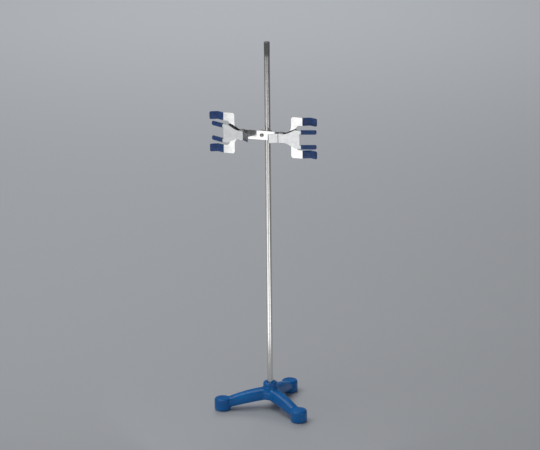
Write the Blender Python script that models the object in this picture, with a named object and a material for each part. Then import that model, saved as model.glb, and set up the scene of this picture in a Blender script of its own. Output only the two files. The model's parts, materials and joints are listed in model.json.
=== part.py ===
"""Laboratory retort stand: cast tripod base, steel rod and a double spring clamp for burettes.

Metres, +Z up.  The clamp's bar runs along X and its press levers face -Y.  The origin is on
the table under the middle of the bounding box.  The rod stands a little to the +X, -Y side.
"""

from math import cos, pi, radians, sin, sqrt

import bmesh
import bpy
from mathutils import Vector

GAP = 0.0003            # clearance between neighbouring pieces

# Tripod base
FOOT_CIRCLE = 0.1005    # rod axis to foot centre
FOOT_RADIUS = 0.0172
FOOT_HEIGHT = 0.0262
LEG_ANGLES = [radians(a) for a in (204, 324, 84)]
BOSS_RADIUS = 0.0150
BOSS_TOP = 0.0572
HUB_BOTTOM = 0.0205
RECESS_TOP = 0.0300     # pocket under the hub that hides the nut
SOCKET_FLOOR = 0.036    # shoulder of the rod rests here
WASHER_RADIUS = 0.0105

# Rod
ROD_RADIUS = 0.006
ROD_TOP = 0.783
SPIGOT_RADIUS = 0.0047
SPIGOT_BOTTOM = 0.0175
ROD_X = 0.0079
ROD_Y = -FOOT_CIRCLE * (sin(LEG_ANGLES[1]) + sin(LEG_ANGLES[2])) / 2

# Clamp bar and its fixed jaws
CLAMP_Z = 0.591
SHEET = 0.0015          # sheet thickness of bar and levers
BAR_Y = ROD_Y - ROD_RADIUS - GAP - SHEET / 2    # the bar passes just in front of the rod
BAR_HALF = 0.0093       # half height of the bar
BAR_JOIN = 0.024        # the middle strip reaches this far into both ends
LOBE_START = 0.0603     # inner edge of the wide jaw lobes
LOBE_END = 0.0842
LOBE_TOP = 0.0425
LOBE_FILLET = 0.013
LOBE_CORNER = 0.0045
WINDOW_EDGE = 0.0775    # round corners of the opening between a lobe's two fingers
WINDOW_HALF = 0.0255
WINDOW_CORNER = 0.0060
WIDE_SPACING = 0.034    # bar axis to wide finger
WIDE_HALF = 0.0068
WIDE_LEG = 0.0150       # each leg of a finger's V
WIDE_ANGLE = radians(26)
COVER_WALL = 0.0011     # thickness of the dipped skin

# Levers
PIVOT_X = 0.042
PIVOT_Y = BAR_Y - 0.0068
PIN_RADIUS = 0.0015
EAR = 0.0012            # thickness of the lever's and bracket's ears
EAR_REACH = 0.0039      # half width of a lever's ear
LEVER_OFFSET = 0.0056   # pivot to the middle of the lever's sheet
NECK_HALF = 0.0087
NECK_LENGTH = 0.0045    # straight part of the neck, each way from the pivot
FAN_END = 0.0405
FAN_RISE = 0.0104       # how far the fan widens above the neck
FLANGE_DEPTH = 0.0048   # turned-back edge of the fan
NARROW_SPACING = 0.0154
NARROW_HALF = 0.0032
NARROW_LENGTH = 0.0315
NARROW_ANGLE = radians(18)
TAB_START = 0.0050      # pivot to the bend where the tab begins
TAB_LENGTH = 0.0220
TAB_HALF = 0.0090
TAB_ANGLE = radians(34)
GRIP_RIBS = 5
RIB_DEPTH = 0.0005
LEFT_REST = radians(11)      # closed on nothing
RIGHT_REST = radians(-2)    # held open as on a burette

# Rod lock
BOLT_X = -0.0021
BOLT_RADIUS = 0.0025
BOLT_LENGTH = 0.0325
BOLT_HEAD = 0.0041
JAW_HALF = 0.0080


def remove_everything():
    for item in list(bpy.data.objects):
        bpy.data.objects.remove(item, do_unlink=True)


def material(name, colour, roughness, metallic):
    made = bpy.data.materials.new(name)
    made.use_nodes = True
    shader = made.node_tree.nodes["Principled BSDF"]
    shader.inputs["Base Color"].default_value = (*colour, 1)
    shader.inputs["Roughness"].default_value = roughness
    shader.inputs["Metallic"].default_value = metallic
    return made


def new_object(name, mesh_data, look):
    """Turn a bmesh into a named object with outward faces."""
    bmesh.ops.recalc_face_normals(mesh_data, faces=mesh_data.faces)
    mesh = bpy.data.meshes.new(name)
    mesh_data.to_mesh(mesh)
    mesh_data.free()
    mesh.shade_smooth()
    mesh.set_sharp_from_angle(angle=radians(35))
    made = bpy.data.objects.new(name, mesh)
    if look:
        mesh.materials.append(look)
    bpy.context.scene.collection.objects.link(made)
    return made


def hide_as_cutter(item):
    item.hide_render = True
    item.display_type = "WIRE"


def boolean(target, tool, operation):
    modifier = target.modifiers.new(operation.title(), "BOOLEAN")
    modifier.operation = operation
    modifier.solver = "EXACT"
    modifier.object = tool
    hide_as_cutter(tool)


def skin_loops(loops, capped=True):
    """Closed tube through rings of points of equal count."""
    data = bmesh.new()
    rings = [[data.verts.new(point) for point in loop] for loop in loops]
    count = len(rings[0])
    pairs = list(zip(rings, rings[1:]))
    if not capped:
        pairs.append((rings[-1], rings[0]))
    for lower, upper in pairs:
        for i in range(count):
            j = (i + 1) % count
            data.faces.new((lower[i], lower[j], upper[j], upper[i]))
    if capped:
        data.faces.new(rings[0])
        data.faces.new(rings[-1])
    return data


def turned(profile, segments, closed=False):
    """Spin (radius, height) points round Z; a closed profile makes a ring."""
    loops = []
    for radius, height in profile:
        turn = [2 * pi * i / segments for i in range(segments)]
        loops.append([(radius * cos(a), radius * sin(a), height) for a in turn])
    return skin_loops(loops, capped=not closed)


def prism(outline, low, high, axis="Z"):
    """Extrude a plane outline: (x, y) along Z, or (x, z) along Y."""
    if axis == "Z":
        loops = [[(u, v, w) for u, v in outline] for w in (low, high)]
    else:
        loops = [[(u, w, v) for u, v in outline] for w in (low, high)]
    return skin_loops(loops)


def arc(centre, radius, start, end, steps):
    """Points on an arc, both ends included, angles in degrees."""
    points = []
    for i in range(steps + 1):
        angle = radians(start + (end - start) * i / steps)
        points.append((centre[0] + radius * cos(angle), centre[1] + radius * sin(angle)))
    return points


def thicken(path, thickness):
    """Outline of a sheet seen on edge, from the middle line of its bends."""
    sides = ([], [])
    for i, point in enumerate(path):
        before = Vector(path[max(i - 1, 0)])
        after = Vector(path[min(i + 1, len(path) - 1)])
        along = (after - before).normalized()
        across = Vector((-along.y, along.x))
        bend = 1.0
        if 0 < i < len(path) - 1:
            first = (Vector(point) - before).normalized()
            bend = 1 / max(0.5, first.dot(along))
        for side, sign in zip(sides, (1, -1)):
            side.append(tuple(Vector(point) + across * sign * bend * thickness / 2))
    return sides[0] + sides[1][::-1]


def mirrored(points, sign):
    return [(sign * x, y) for x, y in points]


def drill(target, name, radius, place=(0, 0, 0), along_depth=False):
    """Round hole right through a piece, along Z or along the depth axis Y."""
    bit = new_object(name, turned([(radius, -0.015), (radius, 0.015)], 20), None)
    if along_depth:
        bit.rotation_euler = (pi / 2, 0, 0)
    bit.location = place
    bit.parent = target
    boolean(target, bit, "DIFFERENCE")


# ---------------------------------------------------------------- base and rod

def leg_section(distance, angle):
    """Rounded section of a leg, wide below and domed above."""
    t = distance / FOOT_CIRCLE
    half_width = 0.0144 - 0.0030 * t
    top = 0.0455 - 0.0045 * t - 0.0195 * t * t
    bottom = 0.0200 - 0.0175 * t ** 1.15
    middle = (top + bottom) / 2
    half_height = (top - bottom) / 2
    points = []
    count = 20
    for i in range(count):
        a = 2 * pi * i / count
        flare = 1.0 - 0.10 * sin(a)
        side = half_width * flare * abs(cos(a)) ** 0.72 * (1 if cos(a) >= 0 else -1)
        up = half_height * abs(sin(a)) ** 0.72 * (1 if sin(a) >= 0 else -1)
        points.append((
            distance * cos(angle) - side * sin(angle),
            distance * sin(angle) + side * cos(angle),
            middle + up,
        ))
    return points


def tripod_base(look):
    hub_profile = [(0.0170, HUB_BOTTOM), (0.0205, HUB_BOTTOM + 0.003), (0.0200, 0.036),
                   (0.0170, 0.0435), (BOSS_RADIUS - 0.0006, 0.0470)]
    hub_profile += [(BOSS_RADIUS, 0.0490), (BOSS_RADIUS, BOSS_TOP - 0.0025)]
    hub_profile += arc((BOSS_RADIUS - 0.0025, BOSS_TOP - 0.0025), 0.0025, 22, 90, 3)
    hub = new_object("tripod_base", turned(hub_profile, 40), look)
    for number, angle in enumerate(LEG_ANGLES):
        steps = 9
        loops = [leg_section(0.004 + (FOOT_CIRCLE - 0.010) * i / steps, angle)
                 for i in range(steps + 1)]
        leg = new_object(f"leg_form_{number}", skin_loops(loops), None)
        boolean(hub, leg, "UNION")
        corner = 0.0045
        foot_profile = [(FOOT_RADIUS - 0.0014, 0), (FOOT_RADIUS, 0.0016)]
        foot_profile += arc((FOOT_RADIUS - corner, FOOT_HEIGHT - corner), corner, 0, 90, 5)
        foot = new_object(f"foot_form_{number}", turned(foot_profile, 36), None)
        foot.location = (FOOT_CIRCLE * cos(angle), FOOT_CIRCLE * sin(angle), 0)
        foot.parent = hub
        leg.parent = hub
        boolean(hub, foot, "UNION")
    socket = [(WASHER_RADIUS + 0.001, 0), (WASHER_RADIUS + 0.001, RECESS_TOP),
              (SPIGOT_RADIUS + GAP, RECESS_TOP), (SPIGOT_RADIUS + GAP, SOCKET_FLOOR),
              (ROD_RADIUS + GAP, SOCKET_FLOOR), (ROD_RADIUS + GAP, BOSS_TOP + 0.005)]
    cutter = new_object("socket_form", turned(socket, 40), None)
    cutter.parent = hub
    boolean(hub, cutter, "DIFFERENCE")
    hub.location = (ROD_X, ROD_Y, 0)


def rod(look):
    chamfer = 0.0008
    profile = [(SPIGOT_RADIUS - chamfer, SPIGOT_BOTTOM), (SPIGOT_RADIUS, SPIGOT_BOTTOM + chamfer),
               (SPIGOT_RADIUS, SOCKET_FLOOR + GAP), (ROD_RADIUS, SOCKET_FLOOR + GAP),
               (ROD_RADIUS, ROD_TOP - chamfer), (ROD_RADIUS - chamfer, ROD_TOP)]
    made = new_object("rod", turned(profile, 40), look)
    made.location = (ROD_X, ROD_Y, 0)


def washer(name, inner, outer, thickness, look):
    profile = [(inner, 0), (outer, 0), (outer, thickness), (inner, thickness)]
    return new_object(name, turned(profile, 28, closed=True), look)


def hex_nut(name, hole, across_flats, height, look):
    corner = across_flats / sqrt(3)
    loops = []
    for radius, level in ((hole, 0), (corner, 0), (corner, height), (hole, height)):
        ring = []
        for i in range(24):
            a = 2 * pi * i / 24
            reach = radius
            if radius == corner:
                reach = across_flats / 2 / cos((a % (pi / 3)) - pi / 6)
            ring.append((reach * cos(a), reach * sin(a), level))
        loops.append(ring)
    return new_object(name, skin_loops(loops, capped=False), look)


def rod_fasteners(look):
    thickness = 0.0016
    height = 0.0075
    plate = washer("rod_washer", SPIGOT_RADIUS + GAP, WASHER_RADIUS, thickness, look)
    plate.location = (ROD_X, ROD_Y, RECESS_TOP - GAP - thickness)
    nut = hex_nut("rod_nut", SPIGOT_RADIUS + GAP, 0.016, height, look)
    nut.location = (ROD_X, ROD_Y, RECESS_TOP - 2 * GAP - thickness - height)


# ---------------------------------------------------------------- clamp bar

def finger_path(leg_length=WIDE_LEG):
    """Middle line of a wide finger from the lobe's edge, bent to a V away from the levers."""
    run = leg_length * cos(WIDE_ANGLE)
    rise = leg_length * sin(WIDE_ANGLE)
    bend = LOBE_END + 0.0012
    return [(LOBE_END - 0.003, 0), (bend, 0), (bend + run * 0.93, rise * 0.93),
            (bend + run, rise * 0.98), (bend + run * 1.07, rise * 0.93),
            (bend + 2 * run, 0.0003)]


def lobe_outline():
    """Half of the bar and both lobes of one side, in the bar's plane."""
    upper = [(BAR_JOIN - 0.004, BAR_HALF)]
    upper += arc((LOBE_START - LOBE_FILLET, BAR_HALF + LOBE_FILLET), LOBE_FILLET, -90, 0, 6)
    upper += arc((LOBE_START + LOBE_CORNER, LOBE_TOP - LOBE_CORNER), LOBE_CORNER, 180, 90, 4)
    upper += [(LOBE_END, LOBE_TOP), (LOBE_END, WINDOW_HALF)]
    upper += arc((WINDOW_EDGE, WINDOW_HALF - WINDOW_CORNER), WINDOW_CORNER, 90, 180, 4)
    return upper + [(x, -z) for x, z in upper[::-1]]


def clamp_bar(look):
    """A flat bar in front of the rod; each end carries two lobes and V fingers."""
    back, front = BAR_Y + SHEET / 2, BAR_Y - SHEET / 2
    strip = [(-BAR_JOIN, front), (BAR_JOIN, front), (BAR_JOIN, back), (-BAR_JOIN, back)]
    bar = new_object("clamp_bar", prism(strip, -BAR_HALF, BAR_HALF), look)
    for side in (-1, 1):
        lobes = prism(mirrored(lobe_outline(), side), BAR_Y - SHEET / 2, BAR_Y + SHEET / 2, "Y")
        form = new_object(f"lobe_form_{side}", lobes, None)
        form.parent = bar
        boolean(bar, form, "UNION")
        for row in (-1, 1):
            middle = [(side * x, BAR_Y + y) for x, y in finger_path()]
            level = row * WIDE_SPACING
            finger = prism(thicken(middle, SHEET), level - WIDE_HALF, level + WIDE_HALF)
            form = new_object(f"finger_form_{side}_{row}", finger, None)
            form.parent = bar
            boolean(bar, form, "UNION")
    drill(bar, "bolt_hole_form", BOLT_RADIUS + GAP, (BOLT_X, BAR_Y, 0), along_depth=True)
    bar.location.z = CLAMP_Z


def sleeve(name, path, half, look):
    """Dipped cover: a sock over a sheet finger, open at its root."""
    grown = SHEET + 2 * (GAP + COVER_WALL)
    first, second = Vector(path[0]), Vector(path[1])
    last, before = Vector(path[-1]), Vector(path[-2])
    tip = tuple(last + (last - before).normalized() * (GAP + COVER_WALL))
    outer = path[:-1] + [tip]
    made = new_object(name, prism(thicken(outer, grown), -half - GAP - COVER_WALL,
                                  half + GAP + COVER_WALL), look)
    bevel = made.modifiers.new("Soft edges", "BEVEL")
    bevel.width = 0.0010
    bevel.segments = 2
    bevel.limit_method = "ANGLE"
    bevel.angle_limit = radians(50)
    root = tuple(first - (second - first).normalized() * 0.002)
    near = tuple(last + (last - before).normalized() * GAP)
    inner = [root] + path[1:-1] + [near]
    pocket = new_object(name + "_pocket", prism(thicken(inner, SHEET + 2 * GAP), -half - GAP,
                                                half + GAP), None)
    pocket.parent = made
    boolean(made, pocket, "DIFFERENCE")
    return made


def wide_covers(look):
    for side, side_name in ((-1, "left"), (1, "right")):
        for row, row_name in ((-1, "lower"), (1, "upper")):
            path = [(LOBE_END + GAP, 0)] + finger_path()[1:]
            placed = [(side * x, BAR_Y + y) for x, y in path]
            cover = sleeve(f"wide_cover_{side_name}_{row_name}", placed, WIDE_HALF, look)
            cover.location.z = CLAMP_Z + row * WIDE_SPACING


# ---------------------------------------------------------------- levers

def lever_outline():
    """Press lever flattened: neck at the pivot, fan with two finger roots outward."""
    root = NARROW_SPACING + NARROW_HALF
    notch = NARROW_SPACING - NARROW_HALF - 0.0022
    upper = [(-NECK_LENGTH, NECK_HALF), (NECK_LENGTH, NECK_HALF)]
    upper += fan_edge()
    upper += [(FAN_END, root), (FAN_END, notch)]
    return upper + [(x, -z) for x, z in upper[::-1]]


def fan_edge():
    """Concave edge of the fan, swept from the neck up to the finger root."""
    points = []
    steps = 8
    length = FAN_END - NECK_LENGTH - 0.010
    for i in range(1, steps + 1):
        t = i / steps
        sweep = (1 - cos(t * pi / 2)) ** 0.85
        points.append((NECK_LENGTH + length * t, NECK_HALF + FAN_RISE * sweep))
    return points


def ear_outline(radius):
    points = arc((0, 0), radius, 180, 0, 10)
    return points + [(radius, -LEVER_OFFSET), (-radius, -LEVER_OFFSET)]


def tab_path():
    """Middle line of the press tab, bent forward and pressed into upright grip ribs."""
    mid = -LEVER_OFFSET
    path = [(0.003, mid), (-TAB_START, mid)]
    steps = 2 * GRIP_RIBS
    for i in range(1, steps + 1):
        along = TAB_LENGTH * i / steps
        wave = RIB_DEPTH * (i % 2)
        path.append((-TAB_START - along * cos(TAB_ANGLE) + wave * sin(TAB_ANGLE),
                     mid - along * sin(TAB_ANGLE) - wave * cos(TAB_ANGLE)))
    return path


def lever(side, side_name, rest, look):
    """The whole lever is drawn about its pivot, then turned to its rest angle."""
    name = f"lever_{side_name}"
    mid = -LEVER_OFFSET
    plate = prism(mirrored(lever_outline(), side), mid - SHEET / 2, mid + SHEET / 2, "Y")
    made = new_object(name, plate, look)
    tab_line = [(side * x, y) for x, y in tab_path()]
    tab = prism(thicken(tab_line, SHEET), -TAB_HALF, TAB_HALF)
    parts = [new_object(name + "_tab_form", tab, None)]
    for row in (-1, 1):
        middle = [(side * x, y) for x, y in narrow_path()]
        level = row * NARROW_SPACING
        finger = prism(thicken(middle, SHEET), level - NARROW_HALF, level + NARROW_HALF)
        parts.append(new_object(f"{name}_finger_form_{row}", finger, None))
        outside = row * (NECK_HALF - 0.0001)
        inside = row * (NECK_HALF - EAR)
        ear = prism(mirrored(ear_outline(EAR_REACH), side), inside, outside)
        parts.append(new_object(f"{name}_ear_form_{row}", ear, None))
        edge = [(NECK_LENGTH + 0.0001, NECK_HALF)] + fan_edge()
        lowered = [(side * x, row * (z - SHEET / 2 - 0.0001)) for x, z in edge]
        flange = prism(thicken(lowered, SHEET * 0.8), mid, mid + FLANGE_DEPTH, "Y")
        parts.append(new_object(f"{name}_flange_form_{row}", flange, None))
    for form in parts:
        form.parent = made
        boolean(made, form, "UNION")
    drill(made, name + "_bore_form", PIN_RADIUS + GAP)
    made.location = (side * PIVOT_X, PIVOT_Y, CLAMP_Z)
    made.rotation_euler.z = side * rest
    return made


def narrow_path():
    """Middle line of a narrow finger, bent back from the end of the fan."""
    mid = -LEVER_OFFSET
    start = FAN_END + 0.0010
    run = NARROW_LENGTH * cos(NARROW_ANGLE)
    rise = NARROW_LENGTH * sin(NARROW_ANGLE)
    return [(FAN_END - 0.004, mid), (start, mid), (start + run / 2, mid + rise / 2),
            (start + run, mid + rise)]


def narrow_covers(side, side_name, rest, look):
    for row, row_name in ((-1, "lower"), (1, "upper")):
        path = narrow_path()
        first, second = Vector(path[1]), Vector(path[2])
        start = first + (second - first).normalized() * 0.0015
        placed = [(side * x, y) for x, y in [tuple(start)] + path[2:]]
        cover = sleeve(f"narrow_cover_{side_name}_{row_name}", placed, NARROW_HALF, look)
        cover.location = (side * PIVOT_X, PIVOT_Y, CLAMP_Z + row * NARROW_SPACING)
        cover.rotation_euler.z = side * rest


def pivot_bracket(side, side_name, look):
    """U bracket on the front of the bar, whose two ears carry the pin."""
    inside = NECK_HALF + GAP
    outside = inside + EAR
    back = BAR_Y - SHEET / 2 - GAP
    floor = back - EAR
    front = PIVOT_Y - 0.0036
    outline = [(back, outside), (front, outside), (front, inside), (floor, inside),
               (floor, -inside), (front, -inside), (front, -outside), (back, -outside)]
    loops = [[(x, y, z) for y, z in outline] for x in (-NECK_LENGTH, NECK_LENGTH)]
    made = new_object(f"pivot_bracket_{side_name}", skin_loops(loops), look)
    drill(made, f"bracket_bore_form_{side_name}", PIN_RADIUS + GAP, (0, PIVOT_Y, 0))
    made.location = (side * PIVOT_X, 0, CLAMP_Z)


def pivot_pin(side, side_name, look):
    head = 0.0028
    ear_top = NECK_HALF + GAP + EAR + GAP
    end = ear_top + 0.0010
    half = [(PIN_RADIUS, ear_top), (head, ear_top), (head, end - 0.0004), (head * 0.7, end)]
    profile = [(radius, -height) for radius, height in half[::-1]] + half
    made = new_object(f"pivot_pin_{side_name}", turned(profile, 20), look)
    made.location = (side * PIVOT_X, PIVOT_Y, CLAMP_Z)


def torsion_spring(side, side_name, look):
    """Coil round the pin between the lever's ears."""
    wire = 0.00055
    coil = 0.0026
    turns = 6
    per_turn = 14
    height = 0.0125
    loops = []
    for i in range(turns * per_turn + 1):
        angle = 2 * pi * i / per_turn
        level = -height / 2 + height * i / (turns * per_turn)
        out = Vector((cos(angle), sin(angle), 0))
        centre = out * coil + Vector((0, 0, level))
        ring = []
        for k in range(6):
            a = 2 * pi * k / 6
            ring.append(tuple(centre + out * wire * cos(a) + Vector((0, 0, wire * sin(a)))))
        loops.append(ring)
    made = new_object(f"torsion_spring_{side_name}", skin_loops(loops), look)
    made.location = (side * PIVOT_X, PIVOT_Y, CLAMP_Z)


# ---------------------------------------------------------------- rod lock

def along_y(item, x, y):
    """Stand a turned piece with its axis along +Y."""
    item.rotation_euler = (-pi / 2, 0, 0)
    item.location = (x, y, CLAMP_Z)


def clamp_bolt(look):
    front = BAR_Y - SHEET / 2 - GAP
    chamfer = 0.0006
    dome = [(BOLT_HEAD * cos(radians(a)), -0.0005 - 0.0019 * sin(radians(a)))
            for a in (80, 55, 25, 0)]
    profile = dome + [(BOLT_HEAD, 0), (BOLT_RADIUS, 0), (BOLT_RADIUS, BOLT_LENGTH),
                      (BOLT_RADIUS - chamfer, BOLT_LENGTH + chamfer)]
    made = new_object("clamp_bolt", turned(profile, 24), look)
    along_y(made, BOLT_X, front)


def jaw_path():
    """Rear jaw: flat behind the bolt and the rod, then forward to the bar on the far side."""
    back = ROD_Y + ROD_RADIUS + GAP + SHEET / 2
    heel = BAR_Y + SHEET + GAP
    return [(BOLT_X - 0.0075, back), (ROD_X + 0.0045, back), (ROD_X + 0.0115, heel + 0.0015),
            (ROD_X + 0.0130, heel), (ROD_X + 0.0175, heel)]


def rear_jaw(look):
    made = new_object("rear_jaw", prism(thicken(jaw_path(), SHEET), -JAW_HALF, JAW_HALF), look)
    drill(made, "jaw_hole_form", BOLT_RADIUS + GAP, (BOLT_X, ROD_Y, 0), along_depth=True)
    made.location.z = CLAMP_Z


def wing_nut(look):
    """Washer and wing nut behind the jaw."""
    seat = jaw_path()[0][1] + SHEET / 2 + GAP
    plate = washer("clamp_washer", BOLT_RADIUS + GAP, 0.0042, 0.0010, look)
    along_y(plate, BOLT_X, seat)
    hub = [(BOLT_RADIUS + GAP, 0), (0.0052, 0), (0.0046, 0.0080), (BOLT_RADIUS + GAP, 0.0080)]
    made = new_object("wing_nut", turned(hub, 28, closed=True), look)
    for side in (-1, 1):
        wing = [(0.0040, 0.0012)] + arc((0.0080, 0.0078), 0.0034, -60, 120, 7) + [(0.0040, 0.0070)]
        form = new_object(f"wing_form_{side}", prism(mirrored(wing, side), -0.0009, 0.0009, "Y"), None)
        form.parent = made
        boolean(made, form, "UNION")
    along_y(made, BOLT_X, seat + 0.0010 + GAP)
    made.rotation_euler.y = radians(78)


def build():
    remove_everything()
    enamel = material("blue enamel", (0.012, 0.075, 0.24), 0.22, 0.0)
    polished = material("polished steel", (0.62, 0.60, 0.58), 0.20, 1.0)
    nickel = material("nickel plate", (0.80, 0.80, 0.80), 0.16, 1.0)
    zinc = material("zinc plate", (0.55, 0.55, 0.56), 0.35, 1.0)
    vinyl = material("navy vinyl", (0.016, 0.035, 0.105), 0.42, 0.0)

    tripod_base(enamel)
    rod(polished)
    rod_fasteners(zinc)
    clamp_bar(nickel)
    wide_covers(vinyl)
    for side, side_name, rest in ((-1, "left", LEFT_REST), (1, "right", RIGHT_REST)):
        lever(side, side_name, rest, nickel)
        narrow_covers(side, side_name, rest, vinyl)
        pivot_bracket(side, side_name, nickel)
        pivot_pin(side, side_name, zinc)
        torsion_spring(side, side_name, polished)
    clamp_bolt(zinc)
    rear_jaw(nickel)
    wing_nut(zinc)


build()
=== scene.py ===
import json
from math import cos, pi, radians, sin, sqrt

import bmesh
import bpy
from mathutils import Matrix, Vector
from mathutils.bvhtree import BVHTree


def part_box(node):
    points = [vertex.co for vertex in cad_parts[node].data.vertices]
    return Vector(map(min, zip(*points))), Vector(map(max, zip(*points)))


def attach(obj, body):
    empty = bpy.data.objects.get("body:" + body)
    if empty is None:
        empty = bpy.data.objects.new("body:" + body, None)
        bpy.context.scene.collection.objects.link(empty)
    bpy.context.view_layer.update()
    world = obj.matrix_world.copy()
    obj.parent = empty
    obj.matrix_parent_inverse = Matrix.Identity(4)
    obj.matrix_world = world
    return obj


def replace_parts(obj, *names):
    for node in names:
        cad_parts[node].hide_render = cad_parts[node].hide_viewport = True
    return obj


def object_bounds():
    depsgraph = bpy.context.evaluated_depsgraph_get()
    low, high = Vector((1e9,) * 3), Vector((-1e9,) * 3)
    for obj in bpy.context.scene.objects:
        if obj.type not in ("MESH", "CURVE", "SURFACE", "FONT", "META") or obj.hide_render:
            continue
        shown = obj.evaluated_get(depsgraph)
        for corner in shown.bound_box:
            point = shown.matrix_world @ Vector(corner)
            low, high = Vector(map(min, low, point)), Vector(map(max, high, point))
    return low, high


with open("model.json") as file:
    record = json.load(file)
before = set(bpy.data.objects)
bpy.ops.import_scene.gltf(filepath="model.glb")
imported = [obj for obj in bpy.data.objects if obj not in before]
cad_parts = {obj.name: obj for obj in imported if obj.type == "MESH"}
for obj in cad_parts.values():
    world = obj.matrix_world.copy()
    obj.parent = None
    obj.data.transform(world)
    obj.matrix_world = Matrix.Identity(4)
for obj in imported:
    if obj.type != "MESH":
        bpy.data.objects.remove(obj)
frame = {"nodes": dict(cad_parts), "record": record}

cad_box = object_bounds()
BODY_OF = {node: body
           for body, nodes in frame["record"]["behaviour"]["bodies"].items()
           for node in nodes}
SLOT_OF = {part["node"]: part["material_slot"] for part in frame["record"]["subparts"]}


def middle(node):
    low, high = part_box(node)
    return (Vector(low) + Vector(high)) / 2


ROD_AXIS = middle("rod")


# ---------------------------------------------------------------- materials

class Paint:
    """A small helper that wires one procedural material."""

    def __init__(self, name):
        self.material = bpy.data.materials.new(name)
        self.material.use_nodes = True
        self.nodes = self.material.node_tree.nodes
        self.links = self.material.node_tree.links
        self.shader = self.nodes["Principled BSDF"]
        self.place = self.nodes.new("ShaderNodeTexCoord").outputs["Object"]

    def set(self, **values):
        for key, value in values.items():
            self.shader.inputs[key.replace("_", " ")].default_value = value

    def stretched(self, scale):
        mapping = self.nodes.new("ShaderNodeMapping")
        mapping.inputs["Scale"].default_value = scale
        self.links.new(self.place, mapping.inputs["Vector"])
        return mapping.outputs["Vector"]

    def noise(self, scale, detail=3.0, roughness=0.5, stretch=None):
        node = self.nodes.new("ShaderNodeTexNoise")
        node.inputs["Scale"].default_value = scale
        node.inputs["Detail"].default_value = detail
        node.inputs["Roughness"].default_value = roughness
        self.links.new(self.stretched(stretch) if stretch else self.place, node.inputs["Vector"])
        return node.outputs["Fac"]

    def ramp(self, factor, stops):
        node = self.nodes.new("ShaderNodeValToRGB")
        elements = node.color_ramp.elements
        while len(elements) < len(stops):
            elements.new(0.5)
        for element, (place, colour) in zip(elements, stops):
            element.position = place
            element.color = (*colour, 1)
        self.links.new(factor, node.inputs["Fac"])
        return node.outputs["Color"]

    def ranged(self, factor, low, high, start=0.3, stop=0.7):
        node = self.nodes.new("ShaderNodeMapRange")
        limits = {"From Min": start, "From Max": stop, "To Min": low, "To Max": high}
        for key, value in limits.items():
            node.inputs[key].default_value = value
        self.links.new(factor, node.inputs["Value"])
        return node.outputs["Result"]

    def colour(self, output):
        self.links.new(output, self.shader.inputs["Base Color"])

    def roughness(self, output):
        self.links.new(output, self.shader.inputs["Roughness"])

    def bump(self, layers):
        """Layers of (height, strength, distance), each over the one before."""
        normal = None
        for height, strength, distance in layers:
            node = self.nodes.new("ShaderNodeBump")
            node.inputs["Strength"].default_value = strength
            node.inputs["Distance"].default_value = distance
            self.links.new(height, node.inputs["Height"])
            if normal:
                self.links.new(normal, node.inputs["Normal"])
            normal = node.outputs["Normal"]
        self.links.new(normal, self.shader.inputs["Normal"])
        return self


def enamel():
    """Thick glossy blue enamel over sand-cast iron."""
    paint = Paint("blue_enamel")
    paint.set(Specular_IOR_Level=0.22, Coat_Weight=0.38, Coat_Roughness=0.10)
    broad = paint.noise(30, 4)
    paint.colour(paint.ramp(broad, [(0.30, (0.0015, 0.108, 0.365)), (0.50, (0.002, 0.136, 0.435)),
                                    (0.72, (0.003, 0.165, 0.500))]))
    paint.roughness(paint.ranged(paint.noise(90, 4), 0.26, 0.46))
    return paint.bump([(paint.noise(95, 3), 0.30, 0.0007),
                       (paint.noise(700, 2), 0.12, 0.0002)]).material


def polished_rod():
    """Centreless-ground stainless rod, with faint rings and a few long scuffs."""
    paint = Paint("polished_stainless")
    paint.set(Metallic=1.0, Anisotropic=0.3)
    rings = paint.noise(60, 3, stretch=(1, 1, 26))
    scuffs = paint.noise(380, 2, stretch=(1, 1, 0.06))
    paint.colour(paint.ramp(rings, [(0.25, (0.72, 0.70, 0.675)), (0.75, (0.84, 0.82, 0.795))]))
    paint.roughness(paint.ranged(scuffs, 0.16, 0.28))
    return paint.bump([(rings, 0.05, 0.00005), (scuffs, 0.05, 0.00005)]).material


def nickel(name, dull, bright):
    """Nickel plate on stamped sheet: soft ripples, smears and a fine grain."""
    paint = Paint(name)
    paint.set(Metallic=1.0)
    smears = paint.noise(70, 5, stretch=(1, 1, 1.6))
    paint.colour(paint.ramp(smears, [(0.28, dull), (0.60, bright)]))
    paint.roughness(paint.ranged(paint.noise(120, 5), 0.12, 0.21))
    return paint.bump([(paint.noise(45, 2), 0.12, 0.00012),
                       (paint.noise(1500, 2), 0.06, 0.00003)]).material


def zinc():
    """Duller plated fasteners."""
    paint = Paint("zinc_plate")
    paint.set(Metallic=1.0)
    paint.colour(paint.ramp(paint.noise(350, 4), [(0.3, (0.36, 0.35, 0.32)), (0.7, (0.54, 0.53, 0.50))]))
    paint.roughness(paint.ranged(paint.noise(600, 4), 0.28, 0.48))
    return paint.bump([(paint.noise(1800, 2), 0.12, 0.00005)]).material


def spring_wire():
    """Drawn spring wire, darker in its draw lines."""
    paint = Paint("spring_wire")
    paint.set(Metallic=1.0)
    paint.colour(paint.ramp(paint.noise(900, 3), [(0.3, (0.42, 0.41, 0.40)), (0.7, (0.62, 0.61, 0.60))]))
    paint.roughness(paint.ranged(paint.noise(1300, 2), 0.2, 0.36))
    return paint.bump([(paint.noise(2500, 1), 0.1, 0.00003)]).material


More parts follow.
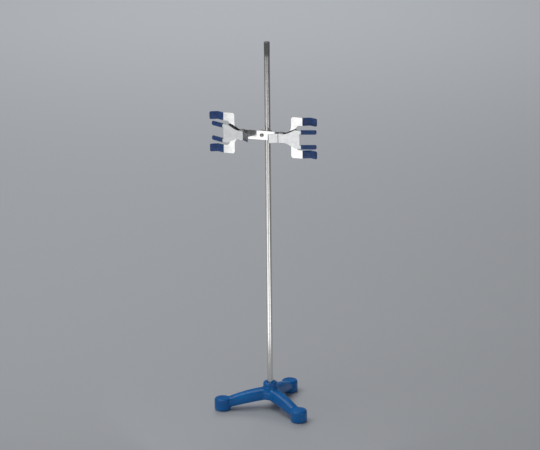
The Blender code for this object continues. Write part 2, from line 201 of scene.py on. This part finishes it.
def vinyl():
    """Dip-coated vinyl: soft satin skin with faint runs and a paler bloom."""
    paint = Paint("navy_vinyl")
    paint.set(Specular_IOR_Level=0.35, Coat_Weight=0.15, Coat_Roughness=0.25)
    cloud = paint.noise(160, 4)
    paint.colour(paint.ramp(cloud, [(0.28, (0.026, 0.066, 0.200)), (0.55, (0.038, 0.092, 0.270)),
                                    (0.80, (0.062, 0.128, 0.330))]))
    paint.roughness(paint.ranged(paint.noise(420, 3), 0.36, 0.54))
    runs = paint.noise(240, 2, stretch=(0.3, 1, 1))
    return paint.bump([(runs, 0.22, 0.00025), (paint.noise(2400, 2), 0.12, 0.00006)]).material


LOOKS = {
    "enamel": enamel(),
    "polished_steel": polished_rod(),
    "nickel": nickel("nickel_plate", (0.80, 0.795, 0.78), (0.90, 0.90, 0.895)),
    "zinc": zinc(),
    "vinyl": vinyl(),
}
WIRE = spring_wire()
LEVER_PLATE = nickel("lever_plate", (0.53, 0.54, 0.54), (0.62, 0.63, 0.63))


# ---------------------------------------------------------------- mesh helpers

def add_piece(name, mesh, node, look=None):
    """Put a piece in the scene on its node's body, with that node's finish."""
    mesh.materials.clear()
    mesh.materials.append(look or LOOKS[SLOT_OF[node]])
    piece = bpy.data.objects.new(name, mesh)
    bpy.context.scene.collection.objects.link(piece)
    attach(piece, BODY_OF[node])
    return piece


def apply_modifiers(item):
    bpy.context.view_layer.update()
    graph = bpy.context.evaluated_depsgraph_get()
    mesh = bpy.data.meshes.new_from_object(item.evaluated_get(graph))
    item.modifiers.clear()
    item.data = mesh
    return mesh


def cad_copy(node):
    """The node's mesh, welded, with the flat faces of its solid made whole again."""
    data = bmesh.new()
    data.from_mesh(frame["nodes"][node].data)
    bmesh.ops.remove_doubles(data, verts=data.verts, dist=0.000002)
    bmesh.ops.dissolve_limit(data, angle_limit=radians(0.6), verts=data.verts, edges=data.edges)
    mesh = bpy.data.meshes.new(node + "_form")
    data.to_mesh(mesh)
    data.free()
    mesh.shade_smooth()
    return mesh


def softened(node, width, segments, limit, look=None):
    """The node with its sharp edges broken, as sheet or turned metal has them."""
    piece = add_piece(node + "_fine", cad_copy(node), node, look)
    bevel = piece.modifiers.new("Edges", "BEVEL")
    bevel.width = width
    bevel.segments = segments
    bevel.limit_method = "ANGLE"
    bevel.angle_limit = radians(limit)
    flats = piece.modifiers.new("Flats", "WEIGHTED_NORMAL")
    flats.mode = "FACE_AREA"
    flats.weight = 100
    apply_modifiers(piece)
    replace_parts(piece, node)


def melted(node, voxel, rounds):
    """The node with its inner corners filled and outer ones rounded, as cast or dipped work."""
    piece = add_piece(node + "_fine", cad_copy(node), node)
    remesh = piece.modifiers.new("Skin", "REMESH")
    remesh.mode = "VOXEL"
    remesh.voxel_size = voxel
    smooth = piece.modifiers.new("Flow", "SMOOTH")
    smooth.factor = 0.5
    smooth.iterations = rounds
    mesh = apply_modifiers(piece)
    mesh.shade_smooth()
    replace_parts(piece, node)


def lofted(name, outlines):
    """A skin over a row of outlines with equal counts of points, closed at both ends."""
    data = bmesh.new()
    rows = [[data.verts.new(point) for point in outline] for outline in outlines]
    count = len(rows[0])
    for first, second in zip(rows, rows[1:]):
        for i in range(count):
            j = (i + 1) % count
            data.faces.new((first[i], first[j], second[j], second[i]))
    data.faces.new(rows[0])
    data.faces.new(rows[-1])
    bmesh.ops.recalc_face_normals(data, faces=data.faces)
    mesh = bpy.data.meshes.new(name)
    data.to_mesh(mesh)
    data.free()
    mesh.shade_smooth()
    mesh.set_sharp_from_angle(angle=radians(35))
    return mesh


def ring(radius, height, count):
    """A circle of points round Z."""
    return [(radius * cos(2 * pi * i / count), radius * sin(2 * pi * i / count), height)
            for i in range(count)]


# ---------------------------------------------------------------- pieces

def base():
    """Cast base, smoothed as thick enamel leaves it."""
    melted("tripod_base", 0.0011, 24)


def rod():
    """Rod with a chamfered end and a threaded spigot."""
    low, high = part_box("rod")
    radius = (high[0] - low[0]) / 2
    count = 72
    shoulder = min(v.co.z for v in frame["nodes"]["rod"].data.vertices
                   if (v.co.xy - ROD_AXIS.xy).length > radius * 0.97)
    thread_radius = 0.0047
    thread_pitch = 0.0015
    chamfer = 0.0009
    rings = threaded_rings(thread_radius, low[2], shoulder - 0.0004, thread_pitch, count)
    rings.append(ring(thread_radius - 0.0005, shoulder - 0.0002, count))
    rings.append(ring(radius, shoulder, count))
    steps = 24
    straight = high[2] - 0.0012 - shoulder
    for i in range(1, steps):
        rings.append(ring(radius, shoulder + straight * i / steps, count))
    rings.append(ring(radius, high[2] - chamfer, count))
    rings.append(ring(radius - chamfer / 3, high[2] - chamfer / 3, count))
    rings.append(ring(radius - chamfer, high[2], count))
    rings.append(ring(radius * 0.4, high[2], count))
    mesh = lofted("rod_fine", rings)
    mesh.transform(Matrix.Translation((ROD_AXIS.x, ROD_AXIS.y, 0)))
    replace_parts(add_piece("rod_fine", mesh, "rod"), "rod")


def threaded_rings(radius, bottom, top, pitch, count):
    """Rings whose radius follows a triangular screw thread."""
    rings = []
    rows = int((top - bottom) / pitch * 6)
    for row in range(rows + 1):
        z = bottom + (top - bottom) * row / rows
        points = []
        for i in range(count):
            turn = i / count
            phase = (z / pitch - turn) % 1
            reach = radius - pitch * 0.5 * abs(2 * phase - 1)
            points.append((reach * cos(2 * pi * turn), reach * sin(2 * pi * turn), z))
        rings.append(points)
    return rings


def clamp_bolt():
    """Slotted dome head and threaded shank."""
    low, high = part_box("clamp_bolt")
    centre = middle("clamp_bolt")
    head = (high[0] - low[0]) / 2
    rim = 0.0006
    dome = 0.0018
    face = rim + dome
    length = high[1] - low[1] - face
    count = 40
    rings = [ring(head * cos(radians(a)), -rim - dome * sin(radians(a)), count)
             for a in (86, 72, 55, 38, 20, 0)]
    rings += [ring(head, -0.0001, count), ring(head - 0.0002, 0, count)]
    rings += threaded_rings(0.0025, 0.0, length, 0.0008, count)
    mesh = lofted("clamp_bolt_fine", rings)
    slot = bpy.data.meshes.new("slot")
    data = bmesh.new()
    bmesh.ops.create_cube(data, size=1.0, matrix=Matrix.Translation((0, 0, -0.0027))
                          @ Matrix.Diagonal((0.0010, 0.02, 0.0030, 1)))
    data.to_mesh(slot)
    data.free()
    piece = add_piece("clamp_bolt_fine", mesh, "clamp_bolt")
    knife = bpy.data.objects.new("slot_knife", slot)
    bpy.context.scene.collection.objects.link(knife)
    knife.rotation_euler.z = radians(38)
    cut = piece.modifiers.new("Slot", "BOOLEAN")
    cut.object = knife
    mesh = apply_modifiers(piece)
    bpy.data.objects.remove(knife)
    mesh.transform(Matrix.Rotation(-pi / 2, 4, "X"))
    mesh.transform(Matrix.Translation((centre.x, low[1] + face, centre.z)))
    mesh.set_sharp_from_angle(angle=radians(35))
    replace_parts(piece, "clamp_bolt")


def spring(side_name, side):
    """Close-wound torsion spring with one leg, which points towards the rod."""
    node = f"torsion_spring_{side_name}"
    low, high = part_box(node)
    centre = middle(node)
    wire = 0.00055
    coil = (high[0] - low[0]) / 2 - wire
    height = high[2] - low[2] - 2 * wire
    turns = 8
    steps_per_turn = 20
    steps = turns * steps_per_turn
    winding = []
    for i in range(steps + 1):
        angle = 2 * pi * i / steps_per_turn + pi / 2
        rise = -height / 2 + height * i / steps
        winding.append(Vector((coil * cos(angle), coil * sin(angle), rise)))
    leg = Vector((-side * 0.010, 0, 0))
    path = [winding[0] + leg * t for t in (1.0, 0.6, 0.2)] + winding
    curve = bpy.data.curves.new(node + "_fine", "CURVE")
    curve.dimensions = "3D"
    curve.bevel_depth = wire
    curve.bevel_resolution = 3
    curve.use_fill_caps = True
    spline = curve.splines.new("POLY")
    spline.points.add(len(path) - 1)
    for point, place in zip(spline.points, path):
        point.co = (*(place + centre), 1)
    holder = bpy.data.objects.new(node + "_curve", curve)
    bpy.context.scene.collection.objects.link(holder)
    graph = bpy.context.evaluated_depsgraph_get()
    mesh = bpy.data.meshes.new_from_object(holder.evaluated_get(graph))
    bpy.data.objects.remove(holder)
    mesh.shade_smooth()
    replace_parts(add_piece(node + "_fine", mesh, node, WIRE), node)


def fasteners():
    for node in ("rod_nut", "rod_washer", "clamp_washer"):
        softened(node, 0.00025, 2, 32)
    softened("wing_nut", 0.00045, 3, 30)
    for side_name in ("left", "right"):
        softened(f"pivot_pin_{side_name}", 0.0002, 2, 32)
        softened(f"pivot_bracket_{side_name}", 0.00025, 2, 34)
    softened("rear_jaw", 0.00028, 2, 34)


def cover_section(half_thick, half_high, count=32):
    """Rounded rectangle: (depth, height) points all the way round."""
    points = []
    for i in range(count):
        a = 2 * pi * i / count
        depth = half_thick * abs(cos(a)) ** 0.6 * (1 if cos(a) >= 0 else -1)
        height = half_high * abs(sin(a)) ** 0.38 * (1 if sin(a) >= 0 else -1)
        points.append((depth, height))
    return points


def dipped_cover(node, side, corner):
    """A pillowy dipped skin that follows the finger cover from its root to a round tip."""
    nose = 0.0019
    lip_run = 0.0007
    low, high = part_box(node)
    solid = bmesh.new()
    solid.from_mesh(frame["nodes"][node].data)
    skin = BVHTree.FromBMesh(solid)
    solid.free()
    level = (low[2] + high[2]) / 2
    half_high = (high[2] - low[2]) / 2
    root, tip = (low[0], high[0]) if side > 0 else (high[0], low[0])
    length = abs(tip - root)
    steps = 44
    rings = []
    for i in range(steps + 1):
        t = i / steps
        run = length * (1 - (1 - t) ** 1.5)
        probe = min(max(run, 0.0004), length - 0.0012)
        x = root + side * run
        reach = root + side * probe
        front = skin.ray_cast(Vector((reach, -1, level)), Vector((0, 1, 0)))[0]
        back = skin.ray_cast(Vector((reach, 1, level)), Vector((0, -1, 0)))[0]
        depth = (front.y + back.y) / 2
        half_thick = (back.y - front.y) / 2
        left = max(length - run, 0.00002)
        rise = half_high
        if left < corner:
            rise = half_high - corner + sqrt(corner ** 2 - (corner - left) ** 2)
        if left < nose:
            half_thick *= sqrt(1 - (1 - left / nose) ** 2)
        if run < lip_run:
            lip = sqrt(1 - (1 - max(run, 0.00005) / lip_run) ** 2)
            half_thick *= 0.80 + 0.20 * lip
            rise -= 0.0005 * (1 - lip)
        rings.append([(x, depth + d, level + h) for d, h in cover_section(half_thick, rise)])
    mesh = lofted(node + "_fine", rings)
    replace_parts(add_piece(node + "_fine", mesh, node), node)


def covers():
    for side_name, side in (("left", -1), ("right", 1)):
        for row in ("lower", "upper"):
            dipped_cover(f"wide_cover_{side_name}_{row}", side, 0.0034)
            dipped_cover(f"narrow_cover_{side_name}_{row}", side, 0.0034)


# ---------------------------------------------------------------- studio

def matte(name, colour, roughness):
    made = bpy.data.materials.new(name)
    made.use_nodes = True
    shader = made.node_tree.nodes["Principled BSDF"]
    shader.inputs["Base Color"].default_value = (*colour, 1)
    shader.inputs["Roughness"].default_value = roughness
    return made


def floor():
    data = bmesh.new()
    bmesh.ops.create_grid(data, x_segments=1, y_segments=1, size=14)
    mesh = bpy.data.meshes.new("studio_floor")
    data.to_mesh(mesh)
    data.free()
    mesh.materials.append(matte("paper_floor", (0.465, 0.482, 0.508), 0.85))
    sheet = bpy.data.objects.new("studio_floor", mesh)
    sheet.location.z = cad_box[0][2] - 0.0002
    bpy.context.scene.collection.objects.link(sheet)


def soft_light(name, place, aim, size, power, seen=True):
    lamp = bpy.data.lights.new(name, "AREA")
    lamp.shape = "RECTANGLE"
    lamp.size, lamp.size_y = size
    lamp.energy = power
    holder = bpy.data.objects.new(name, lamp)
    holder.location = place
    direction = Vector(aim) - Vector(place)
    holder.rotation_euler = direction.to_track_quat("-Z", "Y").to_euler()
    holder.visible_camera = False
    holder.visible_glossy = seen
    bpy.context.scene.collection.objects.link(holder)
    return holder


def sheen_card(name, bearing, width, power):
    """A card that rises from the floor in front, so that every height of the stand mirrors it."""
    turn = radians(bearing)
    ahead = Vector((sin(turn), -cos(turn), 0))
    foot = Vector((ROD_AXIS.x, ROD_AXIS.y, 0.01))
    near = foot + ahead * 0.35
    far = foot + ahead * 1.28 + Vector((0, 0, 0.45))
    upward = (far - near).normalized()
    facing = Vector((cos(turn), sin(turn), 0)).cross(upward)
    facing *= 1 if facing.z > 0 else -1
    centre = (near + far) / 2
    card = soft_light(name, centre, centre + facing, (width, (far - near).length), power)
    card.rotation_euler = Matrix((facing.cross(upward), upward, -facing)).transposed().to_euler()


def studio():
    """Two softboxes above light the paper; four tilted cards in front give the metal its sheen."""
    floor()
    aim = (ROD_AXIS.x, ROD_AXIS.y, 0.3)
    soft_light("softbox_above", (-0.9, -0.3, 2.8), aim, (2.8, 2.8), 42)
    soft_light("softbox_behind", (-1.6, 4.2, 3.3), (-1.4, 3.9, 0), (3.4, 3.0), 117, seen=False)
    sheen_card("broad_card", 0, 1.50, 1.22)
    sheen_card("narrow_card", -17, 0.26, 0.74)
    sheen_card("left_card", -44, 0.28, 0.72)
    sheen_card("right_card", 47, 0.30, 1.15)
    world = bpy.data.worlds.new("studio")
    world.use_nodes = True
    sky = world.node_tree.nodes["Background"]
    sky.inputs["Color"].default_value = (0.80, 0.82, 0.85, 1)
    sky.inputs["Strength"].default_value = 0.13
    bpy.context.scene.world = world
    bpy.context.scene.view_settings.view_transform = "Standard"


def camera():
    """Long lens from about 4.6 m, a little to the right and above."""
    distance = 4.60
    azimuth = radians(18.4)
    pitch = radians(16.98)
    roll = radians(-0.577)
    level = Vector((cos(azimuth), sin(azimuth), 0))
    inward = Vector((-sin(azimuth), cos(azimuth), 0))
    forward = inward * cos(pitch) - Vector((0, 0, 1)) * sin(pitch)
    upward = inward * sin(pitch) + Vector((0, 0, 1)) * cos(pitch)
    right = level * cos(roll) + upward * sin(roll)
    up = upward * cos(roll) - level * sin(roll)
    target = Vector((ROD_AXIS.x, ROD_AXIS.y, 0.3996)) + level * 0.00287
    lens = bpy.data.cameras.new("photo_view")
    lens.lens = 149.5
    lens.sensor_width = 36.0
    lens.clip_end = 60
    holder = bpy.data.objects.new("photo_view", lens)
    place = target - forward * distance
    turn = Matrix((right, up, -forward)).transposed()
    holder.matrix_world = Matrix.Translation(place) @ turn.to_4x4()
    bpy.context.scene.collection.objects.link(holder)
    bpy.context.scene.camera = holder


camera()
studio()
base()
rod()
softened("clamp_bar", 0.00028, 2, 34)
covers()
for side_name, side in (("left", -1), ("right", 1)):
    softened(f"lever_{side_name}", 0.00028, 2, 34, LEVER_PLATE)
    spring(side_name, side)
fasteners()
clamp_bolt()
